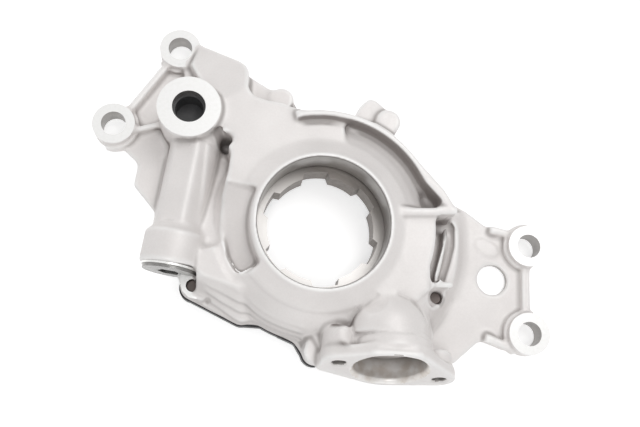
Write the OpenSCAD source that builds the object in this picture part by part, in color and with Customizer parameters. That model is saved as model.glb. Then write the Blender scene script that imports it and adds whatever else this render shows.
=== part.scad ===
/* [Mounting ears] */
// Outer radius of each mounting ear
ear_r = 8.3; // [7.6:0.1:9]
// Diameter of the bolt hole in each ear
ear_hole_d = 9.5; // [8.6:0.1:10]
// Height of the ears above the mounting plane
ear_h = 9; // [8:0.5:11]

/* [Cast webs] */
// Height of the rear skin of the webs above the mounting plane
web_rear = 1; // [0.5:0.1:1.5]
// Height of the front skin of the webs
web_front = 4.5; // [4:0.1:5.5]
// Height of the ribs that stiffen the webs
rib_top = 8; // [7:0.5:9]
// Diameter of the lightening hole in the right web
web_hole_d = 12; // [10:0.5:13]

/* [Case] */
// Diameter of the bore that the crankshaft hub passes through
crank_bore_d = 49.5; // [49:0.1:50]
// Outer diameter of the raised ring round that bore
hub_d = 55.6; // [55:0.1:57]
// Height of the raised ring
hub_top = 28; // [27.5:0.5:30]
// Height of the flat front face of the case
face_top = 25; // [24:0.5:25.5]
// Height of the arched rim
rim_top = 26; // [25.5:0.5:27]
// Inner radius of the arched rim
rim_r = 41.9; // [41.5:0.1:42.2]
// Thickness of the arched rim and the cross rib
rim_w = 2.7; // [2.4:0.1:3]
// Height of the floor of the sunk channel beside the bore
channel_floor = 18.5; // [18:0.5:20]

/* [Gear set] */
// Number of lobes on the inner rotor
lobes = 10; // [9:1:10]
// Distance between the two rotor axes
eccentricity = 2.2; // [2:0.1:2.3]
// Radius of the circle that the outer rotor's lobes stand on
lobe_ring_r = 36; // [35.8:0.1:36.2]
// Radius of each lobe of the outer rotor
lobe_r = 7.3; // [7.2:0.1:7.4]
// Gap left between meshing lobes
lobe_gap = 0.06; // [0.04:0.01:0.08]
// Outer radius of the outer rotor
rotor_r = 36.5; // [36.4:0.1:36.6]
// Height of the rotors' rear faces
rotor_rear = 5.54; // [5.53:0.01:5.56]
// Thickness of both rotors
rotor_w = 9.44; // [9.4:0.01:9.46]
// Number of drive lugs in the inner rotor
lugs = 6; // [6:1:6]
// Radius at the tips of the drive lugs
lug_tip_r = 20.6; // [20.4:0.1:21]
// Radius of the inner rotor's own bore
lug_root_r = 22.7; // [22.5:0.1:23]
// Angle that each drive lug covers
lug_angle = 33; // [31:1:35]
// Direction of the first drive lug
lug_phase = 8; // [0:1:59]

/* [Rear cover] */
// Height of the cover's rear face, which stays clear of the mounting plane
cover_rear = 0.5; // [0.3:0.1:0.8]
// Height of the joint between cover and case
joint_z = 5.5; // [5.5:0.1:5.5]
// Radius of the round part of the cover
cover_r = 43.4; // [43:0.1:43.6]
// Radius of the pad round each cover screw
cover_pad_r = 5.3; // [5:0.1:5.4]
// Diameter of the cover screws' thread
screw_d = 5; // [5:0.1:5]

/* [Inlet] */
// Diameter of the bore for the pickup tube
inlet_bore_d = 27; // [26.5:0.1:27.5]
// Depth of that bore
inlet_bore_depth = 10; // [9:0.5:10]
// Angle that the inlet face leans towards the front
inlet_lean = 17.6; // [17:0.1:18]
// Thickness of the inlet flange
inlet_flange_t = 5; // [4:0.5:6]
// Diameter of the tapped holes in the flange
inlet_tap_d = 5.2; // [5:0.1:5.4]

/* [Relief valve] */
// Angle between the valve's axis and the Y axis
valve_angle = 5.5; // [5:0.1:6]
// Outer radius of the valve barrel
barrel_r = 9.2; // [9.1:0.1:9.4]
// Outer radius of the collar at the end of the barrel
collar_r = 11.8; // [11.4:0.1:11.9]
// Radius of the bore that the plunger slides in
valve_bore_r = 6.5; // [6.5:0.1:6.5]
// Gap round the plunger
plunger_gap = 0.03; // [0.02:0.01:0.05]
// Number of turns of the relief spring
spring_turns = 9; // [8:1:10]
// Diameter of the spring wire
wire_d = 1.5; // [1.4:0.1:1.6]

/* [Outlet] */
// Outer radius of the boss over the outlet passage
outlet_boss_r = 12; // [11.8:0.1:12.2]
// Height of that boss
outlet_boss_top = 26; // [25.5:0.5:27]
// Diameter of the hole in the boss, which the cup plug closes
outlet_plug_d = 12.6; // [12.4:0.1:12.8]
// Diameter of the outlet port in the mounting plane
outlet_port_d = 15; // [14:0.5:15]

/* [Hidden] */
eps = 0.01;
round_fn = 96;
soft_fn = 32;

// Colours of the pieces
cast_color = [0.80, 0.79, 0.77];
cover_color = [0.12, 0.12, 0.13];
sinter_color = [0.42, 0.40, 0.38];
steel_color = [0.66, 0.66, 0.67];
spring_color = [0.35, 0.36, 0.38];
plug_color = [0.16, 0.16, 0.17];
copper_color = [0.72, 0.45, 0.30];

// Centres of the four mounting ears
ear_a = [-61, 71.8];
ear_b = [-83.7, 37.1];
ear_c = [85.3, 1];
ear_d = [85.3, -34.2];
EARS = [ear_a, ear_b, ear_c, ear_d];

// Rotor pocket, whose axis is set off to the left of the crankshaft
foot_z = 3;
pocket_x = -eccentricity;
pocket_r = rotor_r + 0.07;
pocket_top = rotor_rear + rotor_w + 0.05;
outer_root_r = lobe_ring_r - lobe_r + 2 * eccentricity + 0.12;
port_top = 19.5;

// Cover screws, going round from the lower left
screw_lower = [-27.5, -33.3];
screw_corner = [-46.6, -25.2];
screw_flange = [1.2, -46.7];
screw_right = [46.9, -23];
screw_rim = [48, 12.4];
screw_lug = [23.6, 43.2];
screw_lobe = [-18.4, 52.6];
screw_left = [-40.4, 15];
SCREWS = [screw_lower, screw_corner, screw_flange, screw_right, screw_rim, screw_lug, screw_lobe, screw_left];
screw_head_r = 4.4;
screw_head_h = 2.2;
screw_end = 9.6;
corner_pad_top = 12;
corner_wall_x = -45.3;

// Outlet passage and relief valve
outlet = [-53.6, 40.4];
outlet_port_top = 13.4;
cup_bottom = 13.7;
cup_top = 22.5;
cup_wall = 0.9;
valve_end = [-55.4, -19];
valve_z = 13;
barrel_len = 54;
collar_len = 13.5;
valve_bore_end = 50.5;
plug_thread_r = 8;
plug_depth = 9;
washer_t = 0.8;
flange_t = 1.2;
valley_step = 18;
valley_step_y = -8;
plunger_tail = 28;
plunger_nose = 50.45;
plunger_floor = 45;
plunger_inner_r = 4.7;
spring_mean_r = 3.7;
spring_low = plug_depth + 0.05;
spring_high = plunger_floor - 0.05;

// Inlet flange face
inlet = [28.3, -52.3, 18];
inlet_tap_left = [-19.5, 3.5];
inlet_tap_right = [20.3, -7.3];
inlet_face_top = 15.2;
inlet_neck_r = 16.3;
inlet_dome_r = 15.2;

// Left web, from ear A down its outer edge to the valve barrel and back
LEFT_WEB = [ear_a, [-67.2, 66], [-79.5, 44.4], ear_b, [-80.6, 29.4], [-73, 22.9], [-73.9, 13.9], [-64.8, 4.2],
            [-53, 2], [-44, 20], [-45, 44], [-53, 66]];

// Right web, from the case out to ears C and D and back under the inlet
RIGHT_WEB = [[40, 22], [54, 17.6], [60.5, 14.7], [69.6, 8.6], [79.5, 7.6], ear_c, [86.8, -7.3], [86.8, -25.5], ear_d,
             [80.5, -41], [75.6, -40.6], [67, -37.4], [56.6, -47.1], [46, -50.5], [34, -44], [38, -20]];

// Upper left block over the outlet gallery
GALLERY_BLOCK = [[-52.5, 74.2], [-36.4, 65.2], [-33.6, 62.8], [-32.3, 60], [-32, 51.6], [-29.6, 48.2], [-24.6, 47],
                 [-18, 46.4], [-14, 45], [-5.5, 43.2], [6.5, 41.6], [6.5, 27], [-14, 24], [-28, 12], [-37.6, 13],
                 [-36.2, 19], [-36.6, 25], [-41.5, 33], [-46, 46], [-56, 64]];

function polar(r, a) = [r * cos(a), r * sin(a)];
function arc(r, from, to, steps) = [for (i = [0:steps]) polar(r, from + (to - from) * i / steps)];

// Path of a lobe centre seen from the inner rotor, and the profile that lies one lobe radius inside it
function lobe_path(t) = lobe_ring_r * [cos(t), sin(t)] - eccentricity * [cos((lobes + 1) * t), sin((lobes + 1) * t)];
function lobe_way(t) = lobe_ring_r * [-sin(t), cos(t)]
                       - eccentricity * (lobes + 1) * [-sin((lobes + 1) * t), cos((lobes + 1) * t)];
function inner_point(t) = let (way = lobe_way(t), out = [way[1], -way[0]] / norm(way))
                          lobe_path(t) - (lobe_r + lobe_gap) * out;

module at_each(places) {
    for (p = places) translate([p[0], p[1], 0]) children();
}

// Strip of rib between two points of the web
module rib(from, to, width, top, bottom = web_rear) {
    way = to - from;
    translate([from[0], from[1], bottom])
        rotate([0, 0, atan2(way[1], way[0])])
            translate([0, -width / 2, 0]) cube([norm(way), width, top - bottom]);
}

// Puts its children on the valve's axis, with Z running from the collar into the barrel
module on_valve_axis() {
    translate([valve_end[0], valve_end[1], valve_z])
        rotate([0, 0, -valve_angle])
            rotate([-90, 0, 0]) children();
}

// Puts its children on the inlet face, with X to the right, Y up the face and Z out of the mouth
module on_inlet_face() {
    translate(inlet) rotate([90 - inlet_lean, 0, 0]) children();
}

// Wedge of a circle, as a plan for cutting
module sector(r, from, to, bottom, top) {
    translate([0, 0, bottom])
        linear_extrude(top - bottom)
            polygon(concat([[0, 0]], arc(r, from, to, 8)));
}

// Plan of the rear cover: a disc with a pad at each screw
module cover_plan(grow) {
    fillet_r = 2;
    offset(r = grow - fillet_r, $fn = soft_fn)
        offset(r = fillet_r, $fn = soft_fn)
            union() {
                circle(r = cover_r, $fn = round_fn);
                for (p = SCREWS) translate(p) circle(r = cover_pad_r, $fn = 48);
                polygon([screw_corner + [-3.2, -4.2], screw_lower + [-2.2, -4.8], [-20, -30], [-30, 0],
                         screw_left + [-3, 3], screw_left + [-4.8, -2], screw_corner + [-5.1, 1.4]]);
                polygon([screw_lower + [1, -5.2], [-20, -38.5], [-10, -20], [-30, -20]]);
                polygon([screw_flange + [-5, -1.6], [-6.8, -43.9], [-13, -41.6], [-8, -30], [14, -30], [15, -40.6],
                         screw_flange + [4.9, -1.8]]);
                polygon([screw_right + [1.6, -5], [33, -28], [20, -20], [30, 0], [42.6, -8],
                         screw_right + [4.8, 2]]);
                polygon([screw_lug + [3.8, 3.6], [31, 30], [10, 20], [0, 30], [10, 42],
                         screw_lug + [-3.4, 4]]);
                polygon([screw_lobe + [4, 3.4], [-6, 42.8], [-6, 20], [-28, 20], [-30, 31.2],
                         screw_lobe + [-4.8, 2]]);
            }
}

// Room round the relief valve's plug and washer, in front of the collar
module plug_room(reach) {
    on_valve_axis() translate([0, 0, -2.5]) cylinder(r = 11.4, h = 2.5 + reach, $fn = round_fn);
}

// Foot of the case, which follows the outline of the cover just inside it
module case_foot() {
    difference() {
        translate([0, 0, foot_z]) linear_extrude(8.7 - foot_z) cover_plan(-0.8);
        plug_room(1);
    }
}

// Webs, ribs and ears that reach out to the four bolts
module webs() {
    translate([0, 0, web_rear]) linear_extrude(web_front - web_rear) polygon(LEFT_WEB);
    translate([0, 0, web_rear]) linear_extrude(web_front - web_rear) polygon(RIGHT_WEB);
    at_each(EARS) cylinder(r = ear_r, h = ear_h, $fn = round_fn);
    rib([-65.6, 65], [-78.4, 44], 3, rib_top);
    rib([-79, 34.4], [-60, 41], 2.4, rib_top);
    rib([-57, 68], [-56.4, 50], 3.2, rib_top);
    rib([84.9, -4], [84.9, -30], 3.6, 7);
    rib([70.4, 7.4], [80, 5.6], 3, 7);
    rib([68.4, -36.6], [80, -40], 3, 7);
}

// Quarter-round shoulder of the case, turned about the crankshaft's axis
shoulder_r = 18;
shoulder_foot = 7;
module case_shoulder() {
    centre_r = cover_r - 0.3 - shoulder_r;
    rotate_extrude($fn = round_fn) {
        intersection() {
            translate([centre_r, shoulder_foot]) circle(r = shoulder_r, $fn = round_fn);
            translate([centre_r - 4, shoulder_foot]) square([shoulder_r + 8, shoulder_r + 2]);
        }
        translate([centre_r - 4, foot_z]) square([shoulder_r + 4, shoulder_foot - foot_z + eps]);
        translate([crank_bore_d / 2 - 1, foot_z]) square([4, face_top - foot_z]);
    }
}

// Raised ring round the crankshaft bore, with a rounded lip
module hub_ring() {
    inner = crank_bore_d / 2 - 1;
    outer = hub_d / 2;
    rotate_extrude($fn = round_fn)
        polygon([[inner, 14], [outer, 14], [outer - 0.2, hub_top - 1.8], [outer - 0.9, hub_top - 0.8],
                 [outer - 1.7, hub_top - 0.2], [outer - 2.3, hub_top], [inner, hub_top]]);
}

// Flare from the raised ring down to the front of the case
module hub_flare() {
    inner = crank_bore_d / 2 - 1;
    outer = hub_d / 2;
    rotate_extrude($fn = round_fn)
        polygon([[inner, 14], [outer + 5.4, 14], [outer + 5.3, face_top - 1.1], [outer + 3.8, face_top - 0.4],
                 [outer + 2.2, face_top + 0.4], [outer + 0.8, face_top + 1.2], [outer - 0.6, hub_top - 1.2],
                 [inner, hub_top - 1.2]]);
}

// Arched rim over the upper right, and the straight wall that carries it on to the corner
module arched_rim() {
    intersection() {
        translate([0, 0, foot_z])
            difference() {
                cylinder(r = rim_r + rim_w, h = rim_top - foot_z, $fn = round_fn);
                translate([0, 0, -eps]) cylinder(r = rim_r, h = rim_top, $fn = round_fn);
            }
        sector(80, 36, 107, 0, 40);
    }
    translate([0, 0, web_rear])
        linear_extrude(rim_top - web_rear)
            polygon([[33.6, 25.1], [37.8, 18.6], [45.6, 11], [48.8, 10.2], [48.8, 12], [45.8, 16.4], [36, 26.4]]);
    rib([25.4, 6.4], [51, 8.6], rim_w, rim_top, foot_z);
    translate([screw_rim[0], screw_rim[1], foot_z]) cylinder(r = 5, h = 8.2, $fn = round_fn);
}

// Floor of the hollow inside the arched rim, turned about the crankshaft's axis
module rim_floor() {
    intersection() {
        rotate_extrude($fn = round_fn)
            polygon([[24, foot_z], [24, 25], [29, 24.6], [33, 23.7], [36.5, 21.9], [39.6, 19.7], [39.9, 17.6],
                     [43, 17.4], [43, foot_z]]);
        sector(80, 4, 88, 0, 40);
    }
    translate([0, 0, foot_z])
        linear_extrude(17.5 - foot_z) polygon([[30, 8], [47.5, 9], [47.5, 12], [36.5, 25], [30, 24]]);
}

// Groove beside the rim's left end, which runs out level with the block
module rim_groove() {
    groove_start = -12;
    intersection() {
        translate([0, 0, 10])
            linear_extrude(30) polygon(concat(arc(rim_r + 0.8, 78, 108, 8), arc(38.6, 108, 78, 8)));
        translate([groove_start, 0, 24])
            rotate([0, 17, 0]) translate([-50, 0, 0]) cube([150, 80, 30]);
    }
}

// Left wall of the case, which holds the sunk channel
module left_wall() {
    translate([0, 0, foot_z])
        linear_extrude(23 - foot_z)
            polygon([[-14, 28], [-36.5, 24], [-37, 17], [-38.6, 8], [-38.4, 0], [-36.6, -5.6], [-34, -9], [-20, -18],
                     [-20, 0]]);
}

// Web between the valve barrel and the case, and the ramp at its lower end
module valley() {
    difference() {
        translate([0, 0, foot_z])
            linear_extrude(20 - foot_z)
                polygon([[-51, -17], [-40, -17], [-36.9, -9.3], [-33.6, -8], [-30, 0], [-30, 20], [-37, 34],
                         [-46, 42], [-54, 30]]);
        translate([-80, valley_step_y, valley_step]) rotate([-11.4, 0, 0]) cube([80, 60, 30]);
        translate([-80, -60, valley_step]) cube([80, 60 + valley_step_y + 1, 30]);
    }
}

// Flat front face on the right, with the wall that drops to the right web
module right_face() {
    translate([0, 0, foot_z])
        linear_extrude(face_top - foot_z)
            polygon(concat([[24, 7]], arc(43, 10, -22, 8), [[40.4, -22], [36, -26.4], [30, -28], [20, -20]]));
    intersection() {
        rotate_extrude($fn = round_fn)
            polygon([[24, foot_z], [24, face_top - 0.1], [43, face_top - 0.1], [47.6, 23.4], [51, 19.6], [54, 13.4],
                     [56.4, 8.4], [59.6, web_front], [59.6, web_rear + 0.5], [40, web_rear + 0.5]]);
        sector(80, -48, -20.5, 0, 40);
    }
}

// Hollow beside the flat face: its floor, the thin fin in it, the outer ridge and the small bridge below
module right_ridge() {
    intersection() {
        rotate_extrude($fn = round_fn)
            polygon([[42, web_rear], [42, 9.5], [48.6, 9], [49, 12], [49.8, 12], [50.4, 8.4], [53.6, 8],
                     [54, 10.2], [56, 9], [59.4, 5.2], [61.6, web_front], [61.6, web_rear]]);
        sector(80, -21, 13, 0, 40);
    }
    rib([40, -18.9], [51.6, -18.7], 2.4, 18.4);
}

// Block over the outlet gallery, sloping down to ear A
module gallery_block() {
    slope_start = [-38, 48];
    difference() {
        translate([0, 0, foot_z]) linear_extrude(24 - foot_z) polygon(GALLERY_BLOCK);
        translate([slope_start[0], slope_start[1], 24])
            rotate([0, 0, atan2(0.8, -0.6)])
                rotate([0, 26.6, 0])
                    translate([0, -60, 0]) cube([60, 120, 30]);
    }
    translate([screw_lobe[0], screw_lobe[1], foot_z]) cylinder(r = 4.9, h = 12.6 - foot_z, $fn = round_fn);
    translate([0, 0, foot_z])
        linear_extrude(12 - foot_z)
            polygon([[-34, 44], [-33, 60], [-31, 60.8], [-22.6, 56.4], [-20, 50], [-12, 44], [-18, 40]]);
}

// Lug with the raised end of a cover screw boss, outside the arched rim
module top_lug() {
    difference() {
        union() {
            translate([0, 0, foot_z])
                linear_extrude(20.5 - foot_z)
                    polygon([[8, 40], [12.4, 49.6], [15.6, 53], [18.4, 53], [22.6, 49.6], [25.6, 44], [27, 34],
                             [20, 34]]);
            translate([screw_lug[0], screw_lug[1], foot_z]) cylinder(r = 4.8, h = 23.5 - foot_z, $fn = round_fn);
        }
        cylinder(r = rim_r + 0.6, h = 50, $fn = round_fn);
    }
}

// Lower left corner of the case: a sloped wall down to the cover and a spot-faced pad at its corner
module lower_corner() {
    difference() {
        union() {
            hull() {
                translate([screw_lower[0], screw_lower[1], foot_z]) cylinder(r = 4.9, h = 6.4, $fn = soft_fn);
                translate([screw_corner[0], screw_corner[1], foot_z]) cylinder(r = 4.8, h = 5, $fn = soft_fn);
                translate([-42.4, -15.4, foot_z]) cylinder(r = 2.6, h = 20.3 - foot_z, $fn = soft_fn);
                translate([-42.2, -19.8, foot_z]) cylinder(r = 2.6, h = 20.3 - foot_z, $fn = soft_fn);
                translate([-34, -12, foot_z]) cylinder(r = 3, h = 20.6 - foot_z, $fn = soft_fn);
                translate([-29, -22, foot_z]) cylinder(r = 4, h = 20.6 - foot_z, $fn = soft_fn);
            }
            translate([0, 0, foot_z])
                linear_extrude(corner_pad_top - foot_z)
                    polygon([[-52.4, -17.6], [-52.7, -22.2], [-50.3, -27.8], [-47.8, -30], [-42.5, -30.8],
                             [-40, -18.6]]);
        }
        plug_room(1);
    }
    translate([screw_flange[0], screw_flange[1], foot_z]) cylinder(r = 4.9, h = 12, $fn = round_fn);
    translate([0, 0, foot_z])
        linear_extrude(5)
            polygon([screw_flange + [-4.7, -1], [-6.9, -43.4], [-12.6, -41], [-8, -30], [14, -30], [15, -40],
                     screw_flange + [4.8, -1]]);
}

// Barrel of the relief valve with its end collar, and the boss over the outlet passage
module valve_body() {
    on_valve_axis() {
        cylinder(r = barrel_r, h = barrel_len, $fn = round_fn);
        cylinder(r = collar_r, h = collar_len - 1.5, $fn = round_fn);
        translate([0, 0, collar_len - 1.5])
            cylinder(r1 = collar_r, r2 = barrel_r, h = 2.6, $fn = round_fn);
        translate([0, 0, collar_len])
            linear_extrude(38)
                polygon([[-8.2, -4.1], [-11, 9.2], [-11, valve_z - web_rear], [0, valve_z - web_rear], [0, -4.1]]);
    }
    translate([outlet[0], outlet[1], 0]) cylinder(r = outlet_boss_r, h = outlet_boss_top, $fn = round_fn);
}

// Plan of the inlet flange: a ring with a lug at each tapped hole
module inlet_plan() {
    intersection() {
        hull() {
            circle(r = 16.9, $fn = 64);
            translate(inlet_tap_left) circle(r = 6.6, $fn = soft_fn);
            translate([-24.6, -3]) circle(r = 2.2, $fn = soft_fn);
            translate(inlet_tap_right) circle(r = 6.3, $fn = soft_fn);
        }
        translate([-40, -30]) square([80, 30 + inlet_face_top]);
    }
}

// Inlet flange with the neck that sinks into the case behind it
module inlet_horn() {
    intersection() {
        on_inlet_face() {
            translate([0, 0, -inlet_flange_t]) linear_extrude(inlet_flange_t) inlet_plan();
            translate([0, 0, -10]) cylinder(r = inlet_neck_r, h = 6, $fn = round_fn);
            translate([0, 0, -34]) cylinder(r = inlet_dome_r, h = 30, $fn = round_fn);
            translate([inlet_tap_left[0], inlet_tap_left[1], -13]) cylinder(r = 6.3, h = 10, $fn = round_fn);
            translate([inlet_tap_right[0], inlet_tap_right[1], -11]) cylinder(r = 5.4, h = 8, $fn = round_fn);
        }
        translate([-20, -90, web_rear]) cube([100, 90, 60]);
    }
    translate([0, 0, foot_z])
        linear_extrude(16.5 - foot_z)
            polygon([[-2.4, -38], [2.6, -46], [13, -49], [30, -46], [43, -46.4], [45, -38], [42, -28], [30, -10],
                     [10, -20]]);
}

// Rotor pocket, crankshaft bore and the two kidney ports over the rotors
module gear_hollows() {
    translate([pocket_x, 0, -1]) cylinder(r = pocket_r, h = pocket_top + 1, $fn = round_fn);
    cylinder(d = crank_bore_d, h = 60, $fn = round_fn);
    for (port = [[22, 150], [232, 338]])
        translate([0, 0, pocket_top - eps])
            linear_extrude(port_top - pocket_top)
                polygon(concat(arc(34, port[0], port[1], 16), arc(28.6, port[1], port[0], 16)));
}

// Cored gallery from the upper kidney port to the outlet passage
module outlet_hollows() {
    wall_r = pocket_r + 3;
    difference() {
        translate([0, 0, 7.5])
            linear_extrude(port_top - 7.5)
                polygon([[-14, 28], [-22, 24], [-31, 22], [-37, 34], [-39, 44], [-30, 44]]);
        translate([pocket_x, 0, 0]) cylinder(r = wall_r, h = pocket_top + 1, $fn = round_fn);
    }
    translate([outlet[0], outlet[1], -1]) cylinder(d = outlet_port_d, h = outlet_port_top + 1, $fn = round_fn);
    translate([outlet[0], outlet[1], 1]) cylinder(d = outlet_plug_d, h = 60, $fn = round_fn);
    translate([outlet[0], outlet[1], outlet_boss_top - 0.8])
        cylinder(d1 = outlet_plug_d, d2 = outlet_plug_d + 2, h = 1, $fn = round_fn);
    translate([outlet[0], outlet[1], 9]) rotate([0, 90, -6]) cylinder(r = 3.6, h = 19, $fn = round_fn);
}

// Bore of the relief valve, its feed hole from the outlet and its spill window at the rear
module valve_hollows() {
    on_valve_axis() {
        translate([0, 0, -5]) cylinder(r = valve_bore_r, h = valve_bore_end + 5, $fn = round_fn);
        translate([0, 0, -5]) cylinder(r = plug_thread_r, h = plug_depth + 5.4, $fn = round_fn);
        translate([0, 3, valve_bore_end - 1]) cylinder(r = 2.8, h = 8, $fn = round_fn);
    }
    spill = valve_end + 40 * [sin(valve_angle), cos(valve_angle)];
    translate([spill[0], spill[1], -1]) cylinder(r = 3, h = valve_z, $fn = round_fn);
}

// Bore for the pickup tube and the cored passage that carries on over the rotor pocket
module inlet_hollows() {
    on_inlet_face() {
        translate([0, 0, -inlet_bore_depth]) cylinder(d = inlet_bore_d, h = inlet_bore_depth + 5, $fn = round_fn);
        translate([0, 0, -1.4]) cylinder(d1 = inlet_bore_d, d2 = inlet_bore_d + 4, h = 2, $fn = round_fn);
        for (p = [[inlet_tap_left, 12], [inlet_tap_right, 9.5]])
            translate([p[0][0], p[0][1], 0]) {
                translate([0, 0, -p[1]]) cylinder(d = inlet_tap_d, h = p[1] + 2, $fn = round_fn);
                translate([0, 0, -0.7]) cylinder(d1 = inlet_tap_d, d2 = inlet_tap_d + 2, h = 1, $fn = round_fn);
            }
    }
    difference() {
        on_inlet_face() translate([0, 0, -31]) cylinder(r = 11, h = 22, $fn = round_fn);
        translate([pocket_x, 0, -1]) cylinder(r = pocket_r + 3, h = pocket_top + 2.5, $fn = round_fn);
        translate([0, -60, -20]) cube([60, 60, 20 + joint_z + 2]);
    }
}

// Seat of the cover, screw holes, ear holes and the other front details
module small_hollows() {
    translate([0, 0, -2]) linear_extrude(joint_z + 2) cover_plan(0.5);
    at_each(EARS) translate([0, 0, -1]) cylinder(d = ear_hole_d, h = 30, $fn = round_fn);
    at_each([screw_lower, screw_flange, screw_lug, screw_left, screw_lobe, screw_rim])
        cylinder(d = screw_d, h = screw_end + 0.3, $fn = round_fn);
    at_each([screw_corner]) cylinder(d = screw_d, h = corner_pad_top + 1, $fn = round_fn);
    at_each([screw_right]) cylinder(d = screw_d, h = 40, $fn = round_fn);
    translate([corner_wall_x - 10, screw_corner[1] - 9, corner_pad_top]) cube([10, 15, 20]);
    translate([screw_right[0], screw_right[1], 12]) cylinder(r1 = screw_d / 2, r2 = 4.4, h = 2.2, $fn = round_fn);
    translate([screw_right[0], screw_right[1], 14.2 - eps]) cylinder(r = 4.4, h = 20, $fn = round_fn);
    translate([71.6, -13.1, -1]) cylinder(d = web_hole_d, h = 20, $fn = round_fn);
}

// Sunk channel between the raised ring and the left wall, closed at its lower end
module left_channel() {
    channel_start = 14;
    channel_fall = 12;
    translate([0, channel_start, 23])
        rotate([channel_fall, 0, 0])
            translate([0, -channel_start, 0])
                linear_extrude(30)
                    polygon([[-40, 14], [-41, 0], [-38, -5], [-36.4, -9], [-34.6, -15], [-31.4, -20], [-29.4, -21],
                             [-26.4, -19.6], [-22, -15.9], [-24.4, -11.6], [-26.2, -6], [-26.9, 0], [-26.3, 6],
                             [-24.6, 12]]);
}

module housing() {
    color(cast_color)
        difference() {
            union() {
                webs();
                valley();
                difference() {
                    union() {
                        case_shoulder();
                        left_wall();
                        gallery_block();
                        lower_corner();
                        hub_flare();
                        case_foot();
                    }
                    left_channel();
                    rim_groove();
                }
                hub_ring();
                arched_rim();
                rim_floor();
                right_face();
                right_ridge();
                top_lug();
                valve_body();
                inlet_horn();
            }
            gear_hollows();
            outlet_hollows();
            valve_hollows();
            inlet_hollows();
            small_hollows();
        }
}

module rear_cover() {
    color(cover_color)
        difference() {
            translate([0, 0, cover_rear]) linear_extrude(joint_z - cover_rear) cover_plan(0.02);
            translate([0, 0, -1]) cylinder(r = 24.4, h = 10, $fn = round_fn);
            plug_room(0.4);
            at_each(SCREWS)
                rotate_extrude($fn = round_fn)
                    polygon([[0, -1], [screw_head_r, -1], [screw_head_r, cover_rear + 0.2],
                             [screw_d / 2 + 0.3, cover_rear + screw_head_h], [screw_d / 2 + 0.3, 9], [0, 9]]);
        }
}

// One countersunk screw with a six-sided socket, its head flush with the cover's rear face
module cover_screw() {
    difference() {
        rotate_extrude($fn = round_fn)
            polygon([[0, cover_rear], [screw_head_r, cover_rear], [screw_head_r, cover_rear + 0.2],
                     [screw_d / 2 + 0.3, cover_rear + screw_head_h], [screw_d / 2, cover_rear + screw_head_h + 0.2],
                     [screw_d / 2, screw_end - 0.5], [screw_d / 2 - 0.5, screw_end], [0, screw_end]]);
        translate([0, 0, cover_rear - 1]) cylinder(r = 1.75, h = 3, $fn = 6);
    }
}

module cover_screws() {
    color(steel_color) at_each(SCREWS) cover_screw();
}

// Turn angle of outline point i, with the points drawn together where the outline bends most
function lobe_turn(i, per_lobe) = (i / per_lobe - 0.9 / (2 * PI) * sin(360 * i / per_lobe)) * 360 / lobes;

module inner_rotor() {
    per_lobe = 28;
    color(sinter_color)
        translate([0, 0, rotor_rear])
            difference() {
                linear_extrude(rotor_w)
                    polygon([for (i = [0:lobes * per_lobe - 1]) inner_point(lobe_turn(i, per_lobe))]);
                translate([0, 0, -1])
                    linear_extrude(rotor_w + 2)
                        polygon([for (k = [0:lugs - 1], p = lug_outline(lug_phase + k * 360 / lugs)) p]);
            }
}

// One sixth of the drive opening: along the lug's tip, then along the bore to the next lug
function lug_outline(a) = concat(arc(lug_tip_r, a - lug_angle / 2 + 1.5, a + lug_angle / 2 - 1.5, 5),
                                 arc(lug_root_r, a + lug_angle / 2 + 1.5, a + 360 / lugs - lug_angle / 2 - 1.5, 5));

module outer_rotor() {
    color(sinter_color)
        translate([pocket_x, 0, rotor_rear])
            linear_extrude(rotor_w)
                difference() {
                    circle(r = rotor_r, $fn = 180);
                    difference() {
                        circle(r = outer_root_r, $fn = 180);
                        for (k = [0:lobes])
                            rotate(360 * k / (lobes + 1)) translate([lobe_ring_r, 0]) circle(r = lobe_r, $fn = 90);
                    }
                }
}

module relief_plunger() {
    color(steel_color)
        on_valve_axis()
            difference() {
                union() {
                    translate([0, 0, plunger_tail])
                        cylinder(r = valve_bore_r - plunger_gap, h = plunger_nose - plunger_tail - 1, $fn = round_fn);
                    translate([0, 0, plunger_nose - 1])
                        cylinder(r1 = valve_bore_r - plunger_gap, r2 = valve_bore_r - 1, h = 1, $fn = round_fn);
                }
                translate([0, 0, plunger_tail - 1])
                    cylinder(r = plunger_inner_r, h = plunger_floor - plunger_tail + 1, $fn = round_fn);
            }
}

// Ring of points round the wire at turn angle a and height z, for the swept coil
function wire_ring(a, z, sides) = [for (s = [0:sides - 1])
    let (r = spring_mean_r + wire_d / 2 * cos(360 * s / sides), h = z + wire_d / 2 * sin(360 * s / sides))
    [r * cos(a), r * sin(a), h]];

module relief_spring() {
    sides = 8;
    per_turn = 12;
    rings = spring_turns * per_turn;
    low = spring_low + wire_d / 2;
    rise = spring_high - spring_low - wire_d;
    points = [for (i = [0:rings], p = wire_ring(360 * i / per_turn, low + rise * i / rings, sides)) p];
    walls = [for (i = [0:rings - 1], s = [0:sides - 1])
        [i * sides + s, i * sides + (s + 1) % sides, (i + 1) * sides + (s + 1) % sides, (i + 1) * sides + s]];
    first_cap = [[for (s = [0:sides - 1]) sides - 1 - s]];
    last_cap = [[for (s = [0:sides - 1]) rings * sides + s]];
    color(spring_color) on_valve_axis() polyhedron(points, concat(walls, first_cap, last_cap));
}

module relief_plug() {
    color(steel_color)
        on_valve_axis()
            difference() {
                union() {
                    translate([0, 0, -washer_t - eps]) cylinder(r = plug_thread_r, h = plug_depth + washer_t, $fn = round_fn);
                    translate([0, 0, -washer_t - flange_t]) cylinder(r = 10.2, h = flange_t, $fn = round_fn);
                    translate([0, 0, plug_depth - 1]) cylinder(r = 2.6, h = 5, $fn = round_fn);
                }
                translate([0, 0, -washer_t - flange_t - 1]) cylinder(r = 4.6, h = 5.6, $fn = 6);
            }
}

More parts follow.
